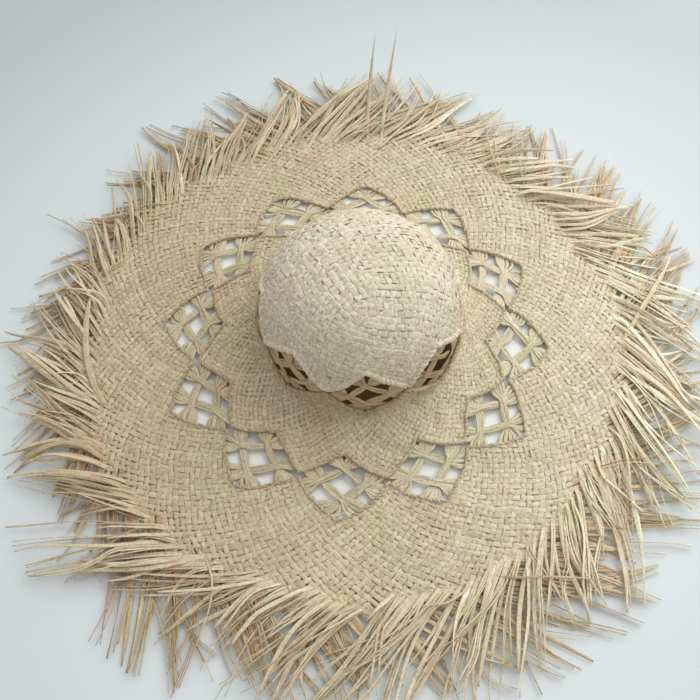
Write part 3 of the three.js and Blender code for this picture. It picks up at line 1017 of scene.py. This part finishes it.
def lay_fringe(ends):
    """The ends that lean one way lie over the ends that lean the other way."""
    for upper, way, layer in ((False, 1, "lower"), (True, -1, "upper")):
        family = [end for end in ends if end.way == way]
        family.sort(key=lambda end: (math.atan2(end.place[1], end.place[0]) - BRIM_TURN)
                    % (2 * math.pi))
        sectors = [Strips() for _ in range(FRINGE_SECTORS)]
        for ply in range(PLIES):
            first = 0
            while first < len(family):
                size = int(rng.integers(*CLUMP_SIZES))
                members = family[first:first + size]
                clump = Clump(members, upper, ply)
                for k, end in enumerate(members):
                    sector = (first + k) * FRINGE_SECTORS // len(family)
                    fringe_strip(sectors[sector], clump, end, ply)
                first += size
        tufts = TUFTS // FRINGE_SECTORS
        for sector, strips in enumerate(sectors):
            # The lower layer is painted in shade.
            piece = strips.build(f"fringe_{layer}_strips_{sector + 1}",
                                 FRINGE_RAFFIA if upper else UNDER_SHADED_RAFFIA)
            nodes = [f"fringe_{layer}_{sector * tufts + k + 1}" for k in range(tufts)]
            settle(piece, "fringe_straw", *nodes)


STRAY_TILT = 0.25
STRAY_THICK = 0.7 * MM
# Single ends that lie or stand apart from the rest, in mm: places along each, and its greatest
# width.
STRAY_ENDS = (
    (((14, 236, 2), (16, 290, 16), (23, 350, 52)), 4.2),
    (((28, 234, 2), (34, 285, 16), (47, 352, 60)), 4.4),
    (((-223, -73, 3), (-243, -36, 8), (-251, 8, 11), (-249, 50, 13)), 7.0),
    (((-53, 224, 3), (-32, 266, 10), (-6, 315, 25)), 6.5),
    (((26, 230, 3), (66, 272, 8), (103, 299, 14)), 4.6),
)


def lay_stray_ends():
    strips = Strips()
    t = np.linspace(0, 1, FRINGE_STEPS)
    for places, widest in STRAY_ENDS:
        places = np.array(places, float) * MM
        at = np.linspace(0, 1, len(places))
        bend = np.polynomial.polynomial.polyfit(at, places, len(places) - 1)
        points = np.polynomial.polynomial.polyval(t, bend).T
        run = np.gradient(points, axis=0)
        normals = np.array([0, 0, 1.0]) + STRAY_TILT * unit(np.cross([0, 0, 1.0], run))
        width = widest * MM * (0.75 + 0.25 * np.sin(math.pi * t)) * (1 - smoothstep(t, 0.6, 1.15))
        strips.add(points, normals, np.maximum(width, STRAY_THICK), STRAY_THICK)
    piece = strips.build("fringe_stray_ends", FRINGE_RAFFIA)
    settle(piece, "fringe_straw", "fringe_upper_6", "fringe_upper_7")


# ---------------------------------------------------------------- camera, floor and light

CAMERA_ELEVATION = math.radians(60.8)
CAMERA_DISTANCE = 0.816
CAMERA_LENS = 45.0
CAMERA_AIM = Vector((-4.4 * MM, -13.9 * MM, 0))


def set_camera():
    data = bpy.data.cameras.new("camera")
    data.lens = CAMERA_LENS
    data.clip_start = 0.01
    camera = bpy.data.objects.new("camera", data)
    back = Vector((0, -math.cos(CAMERA_ELEVATION), math.sin(CAMERA_ELEVATION)))
    camera.location = CAMERA_AIM + back * CAMERA_DISTANCE
    camera.rotation_euler = (-back).to_track_quat("-Z", "Y").to_euler()
    bpy.context.scene.collection.objects.link(camera)
    bpy.context.scene.camera = camera


FLOOR_SIZE = 6.0
FLOOR_GAP = 0.5 * MM
# Radii between which the floor changes, from the middle out.
BROWN_TO_WHITE = (85 * MM, 115 * MM)
WHITE_TO_PALE = (190 * MM, 300 * MM)
PALE_TO_DIM = (340 * MM, 550 * MM)
FRONT_TO_BACK = (-400 * MM, 500 * MM)
# Painted warm shade on the floor inside the crown, and painted light under the brim.
SHADED_CROWN_FLOOR = (0.3, 0.17, 0.09)
LIT_BRIM_FLOOR = (0.97, 0.99, 1.0)
# Outside the brim: painted light towards the front, painted shade towards the back and far away.
LIT_FRONT_FLOOR = (0.75, 0.82, 0.845)
SHADED_BACK_FLOOR = (0.6, 0.665, 0.69)
PAINTED_DIMMING = (0.8, 0.8, 0.8)


def lay_floor():
    bpy.ops.object.select_all(action="DESELECT")
    bpy.ops.mesh.primitive_plane_add(size=FLOOR_SIZE, location=(0, 0, TABLE - FLOOR_GAP))
    floor = bpy.context.object
    floor.name = "floor"
    material = bpy.data.materials.new("pale table")
    material.use_nodes = True
    tree = material.node_tree
    shader = tree.nodes["Principled BSDF"]
    # Painted light, white, under the brim, and painted shade, brown, inside the crown, where the
    # light has come through straw.
    place = node(tree, "ShaderNodeTexCoord", (-900, 0))
    away = node(tree, "ShaderNodeVectorMath", (-700, 0), operation="LENGTH")
    tree.links.new(place.outputs["Object"], away.inputs[0])
    open_share = ramp(tree, away.outputs["Value"], (-500, 0), WHITE_TO_PALE)
    brim_share = ramp(tree, away.outputs["Value"], (-500, -300), BROWN_TO_WHITE)
    hidden = blended(tree, brim_share, SHADED_CROWN_FLOOR, LIT_BRIM_FLOOR, (-250, -300))
    # Outside the brim it is painted a little lighter towards the front, and painted dimmer away
    # from the hat.
    split = node(tree, "ShaderNodeSeparateXYZ", (-700, 300))
    tree.links.new(place.outputs["Object"], split.inputs[0])
    backward = ramp(tree, split.outputs["Y"], (-500, 300), FRONT_TO_BACK)
    pale = blended(tree, backward, LIT_FRONT_FLOOR, SHADED_BACK_FLOOR, (-250, 300))
    far = ramp(tree, away.outputs["Value"], (-500, 550), PALE_TO_DIM)
    dimmed = blended(tree, far, pale, PAINTED_DIMMING, (-150, 450), "MULTIPLY")
    color = blended(tree, open_share, hidden, dimmed, (-50, 0))
    tree.links.new(color, shader.inputs["Base Color"])
    shader.inputs["Roughness"].default_value = 0.6
    floor.data.materials.append(material)


def area_light(name, place, target, size, power, color):
    data = bpy.data.lights.new(name, "AREA")
    data.shape = "DISK"
    data.size = size
    data.energy = power
    data.color = color
    lamp = bpy.data.objects.new(name, data)
    lamp.location = place
    lamp.rotation_euler = (Vector(target) - Vector(place)).to_track_quat("-Z", "Y").to_euler()
    bpy.context.scene.collection.objects.link(lamp)


BRIGHT_SIDE = (0.3, 0.68, 0.67)
WINDOW_PLACE = (0.97, 0.82, 1.15)
GLOW_PLACE = (5 * MM, 6 * MM, 90 * MM)
GLOW_TARGET = (5 * MM, 6 * MM, 0)


def set_lights():
    world = bpy.data.worlds.new("soft room")
    world.use_nodes = True
    tree = world.node_tree
    background = tree.nodes["Background"]
    # The room is brighter behind and to the right.
    way = node(tree, "ShaderNodeTexCoord", (-800, 0))
    dot = node(tree, "ShaderNodeVectorMath", (-600, 0), operation="DOT_PRODUCT")
    dot.inputs[1].default_value = BRIGHT_SIDE
    tree.links.new(way.outputs["Generated"], dot.inputs[0])
    glow = ramp(tree, dot.outputs["Value"], (-400, 0), (-0.3, 1.0), (0.4, 0.86))
    tree.links.new(glow, background.inputs["Strength"])
    background.inputs["Color"].default_value = (1.0, 0.98, 0.95, 1)
    bpy.context.scene.world = world
    area_light("window", WINDOW_PLACE, (0, 0, 0), size=2.0, power=20, color=(0.97, 0.99, 1.0))
    # What soaks through the straw is warm.
    area_light("inside glow", GLOW_PLACE, GLOW_TARGET, size=0.1, power=0.008,
               color=(1.0, 0.55, 0.25))
    bpy.context.scene.view_settings.view_transform = "Standard"


set_camera()
lay_floor()
set_lights()
weave_crown()
weave_inner_brim()
loose_ends = weave_outer_brim()
twist_edges()
fill_windows()
lay_fringe(loose_ends)
lay_stray_ends()
